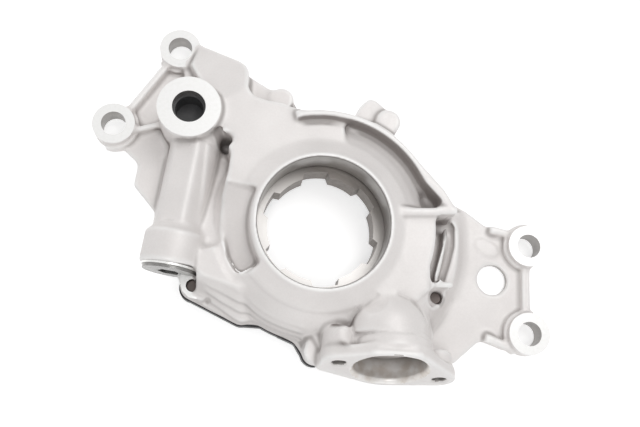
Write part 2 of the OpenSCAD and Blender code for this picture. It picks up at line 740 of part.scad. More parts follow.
module relief_plug_washer() {
    color(copper_color)
        on_valve_axis()
            translate([0, 0, -washer_t])
                difference() {
                    cylinder(r = 10.9, h = washer_t, $fn = round_fn);
                    translate([0, 0, -1]) cylinder(r = plug_thread_r + 0.1, h = washer_t + 2, $fn = round_fn);
                }
}

module outlet_cup_plug() {
    color(plug_color)
        translate([outlet[0], outlet[1], 0])
            difference() {
                translate([0, 0, cup_bottom]) cylinder(d = outlet_plug_d, h = cup_top - cup_bottom, $fn = round_fn);
                translate([0, 0, cup_bottom + cup_wall])
                    cylinder(d = outlet_plug_d - 2 * cup_wall, h = 20, $fn = round_fn);
            }
}

housing();
rear_cover();
cover_screws();
inner_rotor();
outer_rotor();
relief_plunger();
relief_spring();
relief_plug();
relief_plug_washer();
outlet_cup_plug();
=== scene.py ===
import math

import bmesh
import bpy
import numpy as np
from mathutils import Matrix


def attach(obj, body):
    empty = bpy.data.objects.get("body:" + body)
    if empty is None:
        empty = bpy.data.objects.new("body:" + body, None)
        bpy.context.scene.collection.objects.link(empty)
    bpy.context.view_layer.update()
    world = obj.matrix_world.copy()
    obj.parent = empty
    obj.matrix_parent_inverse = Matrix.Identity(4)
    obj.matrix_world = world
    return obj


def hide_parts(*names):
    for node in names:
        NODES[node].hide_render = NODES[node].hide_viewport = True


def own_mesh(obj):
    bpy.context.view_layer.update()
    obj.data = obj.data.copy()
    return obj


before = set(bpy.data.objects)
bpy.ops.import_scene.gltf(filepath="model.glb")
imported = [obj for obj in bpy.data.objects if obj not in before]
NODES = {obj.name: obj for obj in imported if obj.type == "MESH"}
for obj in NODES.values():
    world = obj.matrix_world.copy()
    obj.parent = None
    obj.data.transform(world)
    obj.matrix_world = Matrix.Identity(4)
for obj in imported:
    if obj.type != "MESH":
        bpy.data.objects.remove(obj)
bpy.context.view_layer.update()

import openvdb as vdb
from mathutils import Matrix, Vector

# Engine oil pump. The casting is made from its CAD solid: its corners are rounded on a grid,
# small forms are blended in, and it becomes a mesh again with its machined faces and bores cut.
# Lengths are in millimetres up to the point where a mesh is made.

MM = 0.001
VOXEL = 0.5

# Bolt ears: centres, outer radius, height of the machined top, and the hole
EARS = [(-61.0, 71.8), (-83.7, 37.1), (85.3, 1.0), (85.3, -34.2)]
EAR_R = 8.28
EAR_TOP = 9.0
EAR_HOLE_R = 4.75

# Outlet boss with its machined top, the bore for the cup plug, and the port from the rear
OUTLET = (-53.6, 40.4)
OUTLET_BOSS_R = 12.0
OUTLET_BOSS_TOP = 26.0
OUTLET_BORE_R = 6.3
OUTLET_PORT_R = 7.5
OUTLET_PORT_DEPTH = 13.4

# Crankshaft passage, and the pocket for the rotors behind it
CRANK = (0.0, 0.0)
CRANK_R = 24.75
POCKET = (-2.2, 0.0)
POCKET_R = 36.57
POCKET_DEPTH = 15.03

# Relief valve: lower end of the barrel, its direction, and its bore
VALVE_END = Vector((-55.4, -19.0, 13.0))
VALVE_WAY = Vector((0.095846, 0.995396, 0.0))
VALVE_BORE_R = 6.5
VALVE_BORE_LENGTH = 50.5

# Flat facets along the barrel: tilt in degrees and distance from its axis
BARREL_FACETS = [(-19, 8.35), (40, 8.55)]
# Level way across the barrel, along X and Y
BARREL_ACROSS = (0.995, -0.0958)

# Relief spring, measured along the valve from its lower end
SPRING_LOW = 9.05
SPRING_HIGH = 44.95
SPRING_MEAN_R = 3.7
SPRING_TURNS = 9
WIRE_R = 0.75

# Inlet flange: centre, lean of its face, its own axes, the bore, and the bolt holes with their depths
INLET = Vector((28.3, -52.3, 18.0))
INLET_LEAN = math.radians(17.6)
INLET_U = Vector((1.0, 0.0, 0.0))
INLET_N = Vector((0.0, -math.cos(INLET_LEAN), math.sin(INLET_LEAN)))
INLET_V = INLET_N.cross(INLET_U)
INLET_BORE_R = 13.5
INLET_BORE_DEPTH = 10.0
FLANGE_HOLES = [(-19.5, 3.5, 12.0), (20.3, -7.3, 9.5)]
FLANGE_HOLE_R = 2.6
# Chamfer of the inlet bore: its place on the flange's axes, and the height and radius of both ends
CHAMFER_PLACE = (0, -0.3, -0.2)
CHAMFER_LOW, CHAMFER_LOW_R = -0.9, 13.2
CHAMFER_HIGH, CHAMFER_HIGH_R = 0.1, 14.0

# Round dome over the inlet passage
DOME = (27.0, -38.2, 19.0)
DOME_RADII = (14.7, 14.6, 11.4)

# Hole in the right web
WEB_HOLE = (71.6, -13.1)
WEB_HOLE_R = 6.0

# Machined pad at the lower left corner, and its hole
CORNER_PAD = [(-52.1, -18.9), (-52.4, -22.2), (-50.1, -27.6), (-47.7, -29.7), (-44.5, -30.2), (-44.5, -18.9)]
PAD_TOP = 12.0
PAD_HOLE = (-46.6, -25.2)
PAD_HOLE_R = 2.45

# Line of the thin lip round the lower end of the left channel
LIP_PATH = [
    (-36.4, -9.4, 20.4),
    (-34.8, -13.0, 20.5),
    (-32.9, -16.6, 20.5),
    (-30.6, -19.8, 20.6),
    (-28.6, -20.4, 20.8),
    (-27.2, -19.6, 21.0),
    (-25.4, -18.3, 21.3),
]
# Line of the bright ramp between barrel and face, along which the painted shade of hollows is weakened
RAMP_PATH = [(-38.8, 25.0, 13.0), (-40.5, -6.0, 18.0)]

# Radii to which inner corners are rounded, and the boxes with the tight ones: low, high, soft edge
TIGHT_CORNER = 0.7
WIDE_CORNER = 1.8
TIGHT_BOXES = [
    ((6, -60, 5), (60, -37, 35), 3),
    ((42.5, -26, 2), (58, 9, 20), 2),
    ((74, -44, 0), (97, 12, 12), 3),
    ((-95, 28, 0), (-62, 83, 12), 3),
]

# Steps in channel floors where the painted shade of corners is weakened, so they run out softly without a
# dark line
SOFT_STEPS = [(-30.5, 14.4, 19.0), (5.6, 35.0, 20.0), (-42.0, -9.5, 18.5)]
# Deep places that get painted shade, with the reach of each
SHADE_SPOTS = [
    (48.0, 5.6, 12.0, 6.5),
    (-38.7, 30.0, 13.5, 4.2),
    (47.2, -23.4, 9.0, 4.0),
    (-46.6, -25.2, 8.0, 3.6),
]

# Height under the rear face at which the cuts from behind start
BELOW_REAR = -3.0
# Sloping floor of the left channel: its height level with the crankshaft, and its rise along Y
CHANNEL_HEIGHT = 20.05
CHANNEL_SLOPE = 0.213
# How far round a point the casting is looked at, closely and widely, and from how far off its surface
NEAR_REACH, NEAR_OFF = 1.0, 0.4
WIDE_REACH, WIDE_OFF = 3.5, 1.5

# The mesh of the casting: most triangles, and the angle above which an edge is sharp
MOST_TRIANGLES = 280000
SHARP_DEGREES = 38

# Material indices of the casting's faces
MACHINED, BORED, MOUTH = 1, 2, 3

# Grid on which the casting is shaped, and the cells to each side in which distances are known
GRID_LOW = np.array([-95.0, -61.0, -2.0])
GRID_HIGH = np.array([97.0, 83.5, 36.0])
FIRST = np.round(GRID_LOW / VOXEL).astype(int)
SHAPE = tuple(np.round((GRID_HIGH - GRID_LOW) / VOXEL).astype(int))
AXES = [(FIRST[i] + np.arange(SHAPE[i])) * VOXEL for i in range(3)]
BAND = 8

# Strength of the white world as light and as seen, and of the floor's glow as seen
WORLD_LIGHT = 0.46
WORLD_SEEN = 1.0
FLOOR_GLOW = 0.55
# Half the side of the floor, in metres
FLOOR_HALF = 3.0
# Lamps, in metres and watts: name, place, size, power
LAMPS = [
    ("key", (0.28, 0.38, 0.90), 0.5, 2.6),
    ("near", (-0.10, -0.35, 0.95), 0.35, 1.5),
    ("side", (-0.65, 0.75, 0.5), 0.4, 0.9),
    ("low", (0.1, -1.0, 0.35), 0.5, 0.9),
]

# Camera: its direction and turn in degrees, its distance and offsets, and its lens on a 36 mm sensor
CAMERA_ELEVATION = 74.57
CAMERA_AZIMUTH = -21.06
CAMERA_ROLL = 25.11
CAMERA_DISTANCE = 305.74
CAMERA_ASIDE = 1.456
CAMERA_ABOVE = 9.249
CAMERA_LENS = 42.62


def mesh_arrays(obj):
    # Points in millimetres and triangles of an object's mesh.
    mesh = obj.data
    mesh.calc_loop_triangles()
    points = np.empty(len(mesh.vertices) * 3, np.float32)
    mesh.vertices.foreach_get("co", points)
    triangles = np.empty(len(mesh.loop_triangles) * 3, np.int32)
    mesh.loop_triangles.foreach_get("vertices", triangles)
    return points.reshape(-1, 3) / MM, triangles.reshape(-1, 3).astype(np.uint32)


def field_of(points, triangles=None, quads=None):
    # Distance to a closed surface on the grid, negative inside it.
    grid = vdb.FloatGrid.createLevelSetFromPolygons(
        points.astype(np.float32),
        triangles=triangles,
        quads=quads,
        transform=vdb.createLinearTransform(voxelSize=VOXEL),
        halfWidth=BAND,
    )
    values = np.empty(SHAPE, np.float32)
    grid.copyToArray(values, ijk=tuple(int(v) for v in FIRST))
    return values


def surface_of(values, level=0.0):
    # Quads of the surface at which the field has the given level.
    grid = vdb.FloatGrid(BAND * VOXEL)
    grid.transform = vdb.createLinearTransform(voxelSize=VOXEL)
    grid.copyFromArray(values, ijk=tuple(int(v) for v in FIRST))
    return grid.convertToQuads(level)


def closed_field(values, radius):
    # Rounds the inner corners to the radius: grown by it, measured anew, and shrunk again.
    points, quads = surface_of(values, radius)
    return field_of(points, quads=quads) + radius


def blurred(values, passes):
    # Three-tap smoothing along each axis.
    for _ in range(passes):
        for axis in range(3):
            inner = [slice(None)] * 3
            low = [slice(None)] * 3
            high = [slice(None)] * 3
            inner[axis] = slice(1, -1)
            low[axis] = slice(0, -2)
            high[axis] = slice(2, None)
            mean = 0.5 * values[tuple(inner)] + 0.25 * (values[tuple(low)] + values[tuple(high)])
            values = values.copy()
            values[tuple(inner)] = mean
    return values


def window(low, high):
    # The part of the grid that covers a box in millimetres, and the coordinates in it.
    parts = []
    for axis in range(3):
        first, last = np.searchsorted(AXES[axis], (low[axis], high[axis]))
        parts.append(slice(int(first), int(last)))
    x, y, z = (AXES[axis][parts[axis]] for axis in range(3))
    return tuple(parts), x[:, None, None], y[None, :, None], z[None, None, :]


def blend_in(field, part, shape, width, cut=False):
    # Adds a shape to part of the field, or cuts it out, with a rounded join of the given width.
    old = field[part]
    if cut:
        old = -old
    share = np.clip(0.5 + 0.5 * (shape - old) / width, 0, 1)
    joined = shape * (1 - share) + old * share - width * share * (1 - share)
    field[part] = -joined if cut else joined


def tube(field, path, radius, width, cut=False):
    # A round bead along a path of points, or a groove where it cuts.
    path = np.array(path, float)
    low = path.min(0) - radius - width - 1
    high = path.max(0) + radius + width + 1
    part, x, y, z = window(low, high)
    nearest = None
    for start, end in zip(path[:-1], path[1:]):
        way = end - start
        t = ((x - start[0]) * way[0] + (y - start[1]) * way[1] + (z - start[2]) * way[2]) / (way @ way)
        t = np.clip(t, 0, 1)
        aside = [line - start[i] - t * way[i] for i, line in enumerate((x, y, z))]
        gap = np.sqrt(aside[0] ** 2 + aside[1] ** 2 + aside[2] ** 2)
        nearest = gap if nearest is None else np.minimum(nearest, gap)
    blend_in(field, part, nearest - radius, width, cut)


def groove(field, path, radius, width):
    tube(field, path, radius, width, True)


def round_pad(field, centre, radii, turn, low, high, width, side=None):
    # An oval pad that stands up from low to high. Side keeps only the part of it that lies that way.
    reach = max(radii) + width + 1
    box_low = (centre[0] - reach, centre[1] - reach, low - 2)
    box_high = (centre[0] + reach, centre[1] + reach, high + 2)
    part, x, y, z = window(box_low, box_high)
    u = (x - centre[0]) * math.cos(turn) + (y - centre[1]) * math.sin(turn)
    v = (y - centre[1]) * math.cos(turn) - (x - centre[0]) * math.sin(turn)
    flat = (np.sqrt((u / radii[0]) ** 2 + (v / radii[1]) ** 2) - 1) * min(radii)
    shape = np.maximum(np.maximum(flat, z - high), low - z)
    if side is not None:
        along = (x - centre[0]) * side[0] + (y - centre[1]) * side[1]
        shape = np.maximum(shape, side[2] - along)
    blend_in(field, part, shape, width)


def flat_cut(field, point, normal, low, high, width):
    # Cuts off what lies beyond a plane, inside a box.
    normal = np.array(normal, float)
    normal /= np.linalg.norm(normal)
    part, x, y, z = window(low, high)
    beyond = (x - point[0]) * normal[0] + (y - point[1]) * normal[1] + (z - point[2]) * normal[2]
    keep = -beyond
    for axis, line in enumerate((x, y, z)):
        keep = np.maximum(keep, np.maximum(low[axis] + 1 - line, line - high[axis] + 1))
    blend_in(field, part, keep, width, True)


def egg(field, centre, radii, width, cuts):
    # A body with three radii, cut by planes given by a point and a normal, and joined on with a
    # rounded corner.
    reach = np.array(radii) + width + 1
    part, x, y, z = window(np.array(centre) - reach, np.array(centre) + reach)
    u, v, w = ((line - centre[i]) / radii[i] for i, line in enumerate((x, y, z)))
    shape = (np.sqrt(u ** 2 + v ** 2 + w ** 2) - 1) * min(radii)
    for point, normal in cuts:
        normal = np.array(normal, float) / np.linalg.norm(normal)
        beyond = (x - point[0]) * normal[0] + (y - point[1]) * normal[1] + (z - point[2]) * normal[2]
        shape = np.maximum(shape, beyond)
    blend_in(field, part, shape, width)


def soft_box(low, high, edge):
    # Weight on the grid that is 1 inside a box and falls to 0 over the edge width round it.
    weight = 1.0
    for axis in range(3):
        line = np.minimum(AXES[axis] - low[axis], high[axis] - AXES[axis]) / edge + 1
        shape = [1, 1, 1]
        shape[axis] = -1
        weight = weight * np.clip(line, 0, 1).reshape(shape)
    return weight.astype(np.float32)


def box_mean(values, half):
    # Mean over a window of half cells to each side, along each axis in turn.
    for axis in range(3):
        before = np.repeat(np.take(values, [0], axis), half + 1, axis)
        after = np.repeat(np.take(values, [-1], axis), half, axis)
        total = np.cumsum(np.concatenate([before, values, after], axis), axis, dtype=np.float64)
        size = values.shape[axis]
        later = np.take(total, range(2 * half + 1, 2 * half + 1 + size), axis)
        earlier = np.take(total, range(0, size), axis)
        values = ((later - earlier) / (2 * half + 1)).astype(np.float32)
    return values


def share_within(solid, reach):
    # How much of the space round each cell is solid, with the reach in millimetres.
    half = round(reach / VOXEL)
    return box_mean(box_mean(solid, half), half)


def sampled(values, points):
    # Values of the grid at points in millimetres, by straight lines between its cells.
    place = points / VOXEL - FIRST
    place = np.clip(place, 0, np.array(SHAPE) - 1.001)
    base = place.astype(int)
    part = place - base
    total = np.zeros(len(points), np.float32)
    for corner in range(8):
        step = np.array([corner & 1, corner >> 1 & 1, corner >> 2 & 1])
        weight = np.prod(np.where(step, part, 1 - part), 1)
        cell = base + step
        total += weight * values[cell[:, 0], cell[:, 1], cell[:, 2]]
    return total


def new_object(name, points, faces):
    mesh = bpy.data.meshes.new(name)
    mesh.from_pydata(points, [], faces)
    mesh.validate()
    obj = bpy.data.objects.new(name, mesh)
    bpy.context.scene.collection.objects.link(obj)
    return obj


def smooth_all(mesh):
    mesh.polygons.foreach_set("use_smooth", np.ones(len(mesh.polygons), bool))


def cylinder(centre, way, radius, low, high, sides=128, radius_high=None):
    # Closed cylinder or cone, from low to high along its way.
    way = Vector(way).normalized()
    turn = way.to_track_quat("Z", "Y").to_matrix()
    centre = Vector(centre)
    ends = [(low, radius), (high, radius if radius_high is None else radius_high)]
    points = []
    for height, r in ends:
        for i in range(sides):
            a = 2 * math.pi * i / sides
            p = centre + turn @ Vector((r * math.cos(a), r * math.sin(a), height))
            points.append(p * MM)
    walls = [(i, (i + 1) % sides, sides + (i + 1) % sides, sides + i) for i in range(sides)]
    caps = [tuple(range(sides - 1, -1, -1)), tuple(range(sides, 2 * sides))]
    return points, walls + caps


def upright(place, radius, low, high, sides=128):
    return cylinder((*place, 0), (0, 0, 1), radius, low, high, sides)


def prism(outline, low, high):
    # Closed solid over an outline that runs against the clock.
    count = len(outline)
    points = [Vector((x, y, z)) * MM for z in (low, high) for x, y in outline]
    walls = [(i, (i + 1) % count, count + (i + 1) % count, count + i) for i in range(count)]
    return points, walls + [tuple(range(count - 1, -1, -1)), tuple(range(count, 2 * count))]


def join_solids(name, solids):
    points = []
    faces = []
    for solid_points, solid_faces in solids:
        start = len(points)
        points += solid_points
        faces += [tuple(start + i for i in face) for face in solid_faces]
    return new_object(name, points, faces)


def apply_boolean(obj, tool, operation):
    modifier = obj.modifiers.new("cut", "BOOLEAN")
    modifier.operation = operation
    modifier.solver = "MANIFOLD"
    modifier.object = tool
    depsgraph = bpy.context.evaluated_depsgraph_get()
    result = bpy.data.meshes.new_from_object(obj.evaluated_get(depsgraph))
    obj.modifiers.clear()
    old = obj.data
    obj.data = result
    bpy.data.meshes.remove(old)
    bpy.data.objects.remove(tool)


def cut_away(obj, name, solids):
    apply_boolean(obj, join_solids(name, solids), "DIFFERENCE")


def reduce_mesh(obj, most_triangles):
    count = sum(len(p.vertices) - 2 for p in obj.data.polygons)
    if count <= most_triangles:
        return
    modifier = obj.modifiers.new("fewer", "DECIMATE")
    modifier.ratio = most_triangles / count
    depsgraph = bpy.context.evaluated_depsgraph_get()
    result = bpy.data.meshes.new_from_object(obj.evaluated_get(depsgraph))
    obj.modifiers.clear()
    obj.data = result


def inlet_point(u, v, w=0.0):
    # A point given along the flange's own axes.
    return INLET + INLET_U * u + INLET_V * v + INLET_N * w


def shape_left_side(field):
    # Thin lip round the lower end of the channel, and the shallow valley outside it
    tube(field, LIP_PATH, 0.5, 0.35)
    valley = [(-37.8, -10.6, 21.4), (-36.0, -15.6, 21.6), (-34.0, -19.4, 21.7), (-31.6, -22.2, 21.9)]
    groove(field, valley, 1.4, 1.4)
    # Deep corner between barrel, boss and face
    groove(field, [(-38.8, 30.2, 9.0), (-38.7, 29.8, 24.5)], 2.4, 1.8)
    groove(field, [(-39.6, 31.2, 19.5), (-41.4, 34.0, 22.0)], 1.2, 2.0)


def shape_lower_wall(field):
    # Ripples that the mould left
    ripple_depth = 0.24
    ripple_spacing = 2.9
    part, x, y, z = window((-44, -46, 5), (-2, -18, 21))
    share = soft_box((-40, -43, 8), (-6, -22, 17.5), 2.5)[part]
    wave = np.sin((z + 0.06 * x + 0.5 * np.sin(x / 5.0)) * 2 * math.pi / ripple_spacing)
    field[part] -= ripple_depth * share * wave
    # Small dent above the corner pad
    groove(field, [(-40.9, -31.4, 10.4), (-40.5, -30.6, 12.2)], 1.1, 0.8)


def shape_dome(field):
    # The dome itself, with a facet at its upper left and a flat end at the flange
    facet = ((21.4, -28.9, 25.6), (-0.42, 0.62, 0.75))
    flange_end = ((27.0, -39.6, 25.0), (0, -1, 0.15))
    egg(field, DOME, DOME_RADII, 0.8, [facet, flange_end])
    # Bead along the flange's upper edge
    brow = [inlet_point(u, v, -1.3) for u, v in ((-8.5, 13.9), (-3.0, 14.5), (3.0, 14.5), (8.5, 13.9))]
    tube(field, brow, 1.0, 0.8)
    # Fine grooves round the right of the dome and across its foot
    arch = [
        (29.2, -24.6, 25.5),
        (34.1, -26.4, 25.2),
        (37.6, -29.0, 23.9),
        (39.9, -32.2, 22.0),
        (41.6, -35.5, 20.4),
    ]
    groove(field, arch, 0.8, 0.6)
    foot = [
        (15.2, -41.0, 24.3),
        (18.0, -40.1, 27.2),
        (21.0, -39.6, 29.2),
        (25.0, -39.0, 30.6),
        (29.5, -38.9, 30.9),
        (36.6, -39.4, 28.6),
        (41.0, -40.6, 25.0),
        (43.6, -41.9, 21.0),
    ]
    groove(field, foot, 0.45, 0.5)


def shape_barrel(field):
    # Flat facets, and a fine groove where the barrel meets the boss
    for tilt, reach in BARREL_FACETS:
        across = math.sin(math.radians(tilt))
        out = (across * BARREL_ACROSS[0], across * BARREL_ACROSS[1], math.cos(math.radians(tilt)))
        flat_cut(field, VALVE_END + Vector(out) * reach, out, (-66, -4.2, 15), (-45, 30, 25), 0.5)
    groove(field, [(-48.6, 28.9, 21.9), (-46.0, 28.7, 20.9), (-43.6, 28.3, 18.9)], 0.45, 0.5)


def shape_right_pocket(field):
    # Curved bar that stands in the pocket
    bar = [(50.4, 7.2, 10.6), (50.1, 1.5, 11.2), (48.9, -4.3, 11.4), (47.4, -10.0, 11.4), (46.0, -15.7, 11.4)]
    tube(field, bar, 0.75, 0.6)
    # Grooves to its left and right, and the deep upper end
    groove(field, [(46.6, 4.6, 9.4), (47.0, -0.4, 9.3), (45.6, -9.7, 9.2), (44.6, -14.6, 9.2)], 1.5, 1.0)
    groove(field, [(53.0, 5.6, 8.6), (52.9, -1.4, 8.3), (51.0, -9.1, 8.3), (49.2, -14.8, 8.3)], 1.3, 1.0)
    groove(field, [(45.4, 5.0, 9.0), (51.4, 5.4, 8.6)], 2.0, 1.2)
    # Room round the screw hole below the pocket
    groove(field, [(48.6, -21.6, 14.5), (50.4, -20.6, 15.5)], 1.3, 1.0)
    groove(field, [(43.8, -24.2, 15.8), (44.0, -24.4, 30.0)], 3.1, 0.8)
    groove(field, [(47.0, -23.2, 15.2), (47.6, -23.6, 30.0)], 3.2, 0.8)
    # The pocket's left wall, which bends outwards at the lower end
    groove(field, [(43.9, -12.5, 11.6), (43.9, -12.5, 29.0)], 1.6, 0.8)
    groove(field, [(43.3, -15.8, 11.6), (43.3, -15.8, 29.0)], 2.2, 0.8)
    groove(field, [(43.2, -17.4, 11.6), (43.2, -17.4, 29.0)], 1.9, 0.8)
    # Cross rib between pocket and screw hole, and the pocket's soft right edge
    tube(field, [(39.6, -20.1, 21.4), (50.4, -18.9, 18.6)], 1.1, 0.4)
    groove(field, [(54.8, 4.0, 11.4), (53.9, -9.0, 11.4), (52.9, -16.0, 11.2)], 2.5, 1.2)


def shape_webs(field):
    # Rounded seats round the ears, on the side of the web: an outward way and the distance at which it starts
    for ear, side in (
        (EARS[2], (-0.98, 0.2, 1.0)),
        (EARS[3], (-0.9, 0.42, 1.0)),
        (EARS[1], (0.9, -0.4, 1.0)),
        (EARS[0], (0.5, -0.86, 1.0)),
    ):
        round_pad(field, ear, (9.7, 9.7), 0.0, 1.2, 6.6, 0.6, side)
    # Groove along the right edge, and the bare oval pad
    groove(field, [(84.7, -10.0, 7.4), (84.6, -25.0, 7.4)], 0.7, 0.4)
    round_pad(field, (69.1, -0.2), (5.2, 3.2), math.radians(-26), 3.0, 5.0, 0.3)


def shape_details(field):
    # Small forms of the casting that are finer than the part's plain solids.
    shape_left_side(field)
    shape_lower_wall(field)
    shape_dome(field)
    shape_barrel(field)
    shape_right_pocket(field)
    shape_webs(field)


def rounded(field):
    # Inner corners rounded like a casting's, tightly in some places and widely elsewhere.
    tight = closed_field(field, TIGHT_CORNER)
    wide = closed_field(field, WIDE_CORNER)
    keep = 0
    for low, high, edge in TIGHT_BOXES:
        keep = np.maximum(keep, soft_box(low, high, edge))
    return blurred(wide + (tight - wide) * keep, 2)


def machine_case(case):
    # Sharp-edged ends are put on first, and then every bore and face is cut.
    ends = [upright(ear, EAR_R, 6.0, EAR_TOP) for ear in EARS]
    ends.append(upright(OUTLET, OUTLET_BOSS_R, 22.0, OUTLET_BOSS_TOP))
    ends.append(prism(CORNER_PAD, 9.0, PAD_TOP))
    apply_boolean(case, join_solids("ends", ends), "UNION")
    bores = [upright(ear, EAR_HOLE_R, BELOW_REAR, 15.0, 64) for ear in EARS]
    bores.append(upright(POCKET, POCKET_R, BELOW_REAR, POCKET_DEPTH, 256))
    bores.append(upright(OUTLET, OUTLET_BORE_R, 1.0, 30.0, 96))
    bores.append(cylinder(VALVE_END, VALVE_WAY, VALVE_BORE_R, 0.0, VALVE_BORE_LENGTH, 96))
    bores.append(cylinder(INLET, INLET_N, INLET_BORE_R, -INLET_BORE_DEPTH, 5.0))
    bores.append(upright(WEB_HOLE, WEB_HOLE_R, BELOW_REAR, 15.0, 64))
    bores.append(upright(PAD_HOLE, PAD_HOLE_R, 7.0, PAD_TOP + 0.03, 48))
    cut_away(case, "bores", bores)
    more_bores = [upright(CRANK, CRANK_R, BELOW_REAR, 40.0, 256)]
    for u, v, depth in FLANGE_HOLES:
        more_bores.append(cylinder(inlet_point(u, v), INLET_N, FLANGE_HOLE_R, -depth, 3.0, 48))
    cut_away(case, "crank", more_bores)
    cut_away(case, "face", [cylinder(INLET, INLET_N, 40.0, -0.2, 6.0, 64)])
    place = inlet_point(*CHAMFER_PLACE)
    chamfer = cylinder(place, INLET_N, CHAMFER_LOW_R, CHAMFER_LOW, CHAMFER_HIGH, 128, CHAMFER_HIGH_R)
    cut_away(case, "mouth", [chamfer])
    cut_away(case, "port", [upright(OUTLET, OUTLET_PORT_R, BELOW_REAR, OUTLET_PORT_DEPTH, 96)])


def build_case():
    points, triangles = mesh_arrays(NODES["housing"])
    plain = field_of(points, triangles=triangles)
    field = rounded(plain)
    filling = plain - field
    shape_details(field)
    field = blurred(field, 1)
    points, quads = surface_of(field)
    case = new_object("cast_case", (points * MM).tolist(), quads.tolist())
    machine_case(case)
    reduce_mesh(case, MOST_TRIANGLES)
    smooth_all(case.data)
    mark_sharp(case, SHARP_DEGREES)
    mark_hollows(case.data, field, filling)
    return case


def mark_sharp(obj, degrees):
    bm = bmesh.new()
    bm.from_mesh(obj.data)
    limit = math.radians(degrees)
    for edge in bm.edges:
        edge.smooth = not (edge.is_manifold and edge.calc_face_angle(0) > limit)
    bm.to_mesh(obj.data)
    bm.free()


def rise(values, low, high):
    # From 0 at low to 1 at high, also where low is the greater of the two.
    return np.clip((values - low) / (high - low), 0, 1)


def distance(points, place):
    return np.linalg.norm(points - np.array(place), axis=1)


def path_distance(points, path):
    # Distance from each point to a path of straight pieces.
    nearest = np.full(len(points), 1e6)
    path = np.array(path, float)
    for start, end in zip(path[:-1], path[1:]):
        way = end - start
        along = np.clip((points - start) @ way / (way @ way), 0, 1)
        nearest = np.minimum(nearest, np.linalg.norm(points - start - along[:, None] * way, axis=1))
    return nearest


def shaded_walls(points, normals, steep, from_lip):
    # How much painted shade the walls and floors get: arched walls that face the crankshaft, the lower wall,
    # and the left channel's sloping floor.
    x, y, z = points.T
    out = np.hypot(x, y)
    inward = -(normals[:, 0] * x + normals[:, 1] * y) / np.maximum(out, 1)
    from_dome = np.hypot(x - DOME[0], y - DOME[1])
    ring = rise(out, 62, 58) * rise(z, 7, 9) * rise(x, -38.5, -37) * rise(from_dome, 16, 19)
    walls = ring * rise(from_lip, 2.5, 4) * rise(inward, 0.3, 0.7)
    low_wall = steep * rise(y, -20, -23) * rise(x, 0, -6) * rise(z, 18.5, 16.5)
    from_floor = np.abs(z - CHANNEL_HEIGHT - CHANNEL_SLOPE * y)
    channel = rise(from_floor, 1.4, 0.6) * rise(y, 14, 11) * rise(x, -20, -23)
    channel = channel * rise(out, 27.5, 29) * rise(out, 41, 39)
    return np.maximum(walls, np.maximum(0.4 * low_wall, 0.26 * channel))


def mark_hollows(mesh, field, filling):
    # Stores at each point painted shade for how deep in a hollow it lies and how much rounding fills the
    # corner there, and a painted highlight for how sharp an edge it stands on.
    count = len(mesh.vertices)
    points = np.empty(count * 3, np.float32)
    normals = np.empty(count * 3, np.float32)
    mesh.vertices.foreach_get("co", points)
    mesh.vertices.foreach_get("normal", normals)
    points = points.reshape(-1, 3) / MM
    normals = normals.reshape(-1, 3)
    solid = np.clip(0.5 - field / VOXEL, 0, 1).astype(np.float32)
    near_share = sampled(share_within(solid, NEAR_REACH), points + NEAR_OFF * normals)
    wide_share = sampled(share_within(solid, WIDE_REACH), points + WIDE_OFF * normals)
    steep = rise(np.abs(normals[:, 2]), 0.8, 0.4)
    from_lip = path_distance(points, LIP_PATH)
    # Along the lip a painted highlight takes the place of painted shade.
    on_lip = rise(from_lip, 1.1, 0.6)

    # Painted shade in inner corners: where the rounding filled the corner, and where the surface bends
    # inwards.
    crease_shade = rise(sampled(box_mean(filling, 1), points), 0.12, 0.62)
    for step in SOFT_STEPS:
        crease_shade = crease_shade * np.maximum(rise(distance(points, step), 5, 8), 0.15)
    bend = rise(near_share, 0.40, 0.56)

    # Painted shade: deep hollows and steep walls beside solid, with the walls and floors from shaded_walls,
    # get darker.
    hollow = np.maximum(rise(wide_share, 0.5, 0.75), steep * rise(wide_share, 0.37, 0.51))
    hollow = np.maximum(hollow, shaded_walls(points, normals, steep, from_lip))
    # The painted shade of hollows is weakened along the ramp.
    from_ramp = path_distance(points, RAMP_PATH)
    hollow = hollow * (0.3 + 0.7 * rise(from_ramp, 3.5, 5.6))
    # Painted shade round each of these deep places.
    for *spot, reach in SHADE_SPOTS:
        dark = rise(distance(points, spot), reach, 0.6 * reach) * np.clip(steep + 0.75, 0, 1)
        hollow = np.maximum(hollow, dark)

    # Stored for the material: painted shade in hollows and corners, none on the lip, and a painted highlight
    # on sharp edges and along the lip.
    for name, values in (
        ("hollow", hollow * (1 - on_lip)),
        ("crease_shade", np.maximum(crease_shade, 0.9 * bend) * (1 - on_lip)),
        ("edge", np.maximum(rise(near_share, 0.33, 0.21), on_lip)),
    ):
        stored = mesh.attributes.new(name, "FLOAT", "POINT")
        stored.data.foreach_set("value", values.astype(np.float32))


